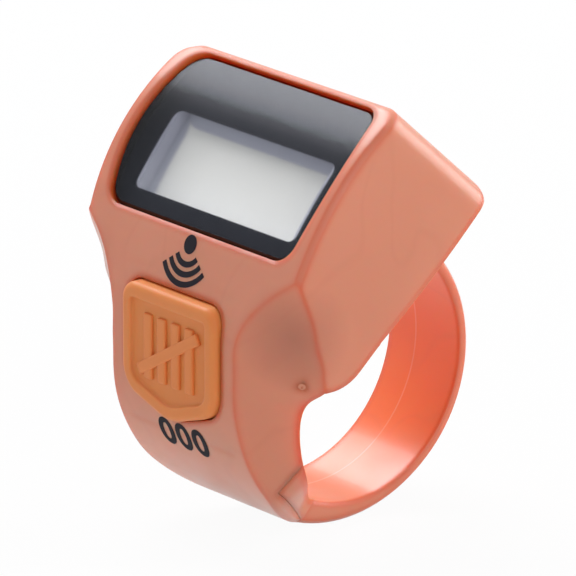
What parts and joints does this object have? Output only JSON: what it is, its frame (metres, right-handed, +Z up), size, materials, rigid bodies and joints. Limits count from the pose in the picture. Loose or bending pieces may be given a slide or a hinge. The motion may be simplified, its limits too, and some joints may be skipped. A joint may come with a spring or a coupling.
{
  "type": "digital tally counter",
  "caption": "Finger-worn digital tally counter: ring band, tilted head with a display window, and a thumb button on the front.",
  "frame": {"origin": "centre of the finger hole, on the axis of its round part, midway between the head's sides", "axes": "+X along the finger, towards the head's right side as the display is read; -Y towards the button; +Z up, with the display leaning back 48 degrees from level towards -Y"},
  "size_m": [0.0254, 0.0256, 0.0336],
  "materials": {
    "housing": "glossy, slightly translucent salmon orange",
    "window": "clear, glossy",
    "mask": "matt print",
    "frame_plastic": "matt white",
    "display_face": "pale grey film",
    "display_glass": "clear",
    "reflector": "silvery film",
    "contact_rubber": "matt",
    "board": "green solder mask",
    "resin": "glossy black resin",
    "component": "ceramic",
    "cell_steel": "bright steel",
    "contact_metal": "plated spring steel",
    "buzzer_brass": "bright",
    "ceramic": "silvered ceramic",
    "button": "satin light orange",
    "ribbon": "amber film",
    "screw_steel": "zinc plated"
  },
  "bodies": {
    "housing": {"front_housing": "housing", "rear_housing": "housing", "display_window": "window", "window_mask": "mask", "lcd_frame": "frame_plastic", "lcd_polariser": "display_face", "lcd_front_glass": "display_glass", "lcd_rear_glass": "display_glass", "lcd_reflector": "reflector", "zebra_strip_lower": "contact_rubber", "zebra_strip_upper": "contact_rubber", "main_board": "board", "chip_blob": "resin", "battery_cell": "cell_steel", "contact_plus": "contact_metal", "contact_minus": "contact_metal", "buzzer_plate": "buzzer_brass", "buzzer_ceramic": "ceramic", "buzzer_leaf_inner": "contact_metal", "buzzer_leaf_outer": "contact_metal", "button_board": "board", "button_dome": "contact_metal", "ribbon": "ribbon", "board_component_1": "component", "board_component_2": "component", "board_component_3": "component", "board_component_4": "component", "housing_screw_1": "screw_steel", "housing_screw_2": "screw_steel", "housing_screw_3": "screw_steel", "housing_screw_4": "screw_steel"},
    "button": {"button_cap": "button"}
  },
  "joints": [
    {"name": "button_press", "type": "slide", "parent": "housing", "child": "button", "axis": [0, 1, 0], "range_m": [0, 0.0003], "stiffness_N_per_m": 400}
  ]
}
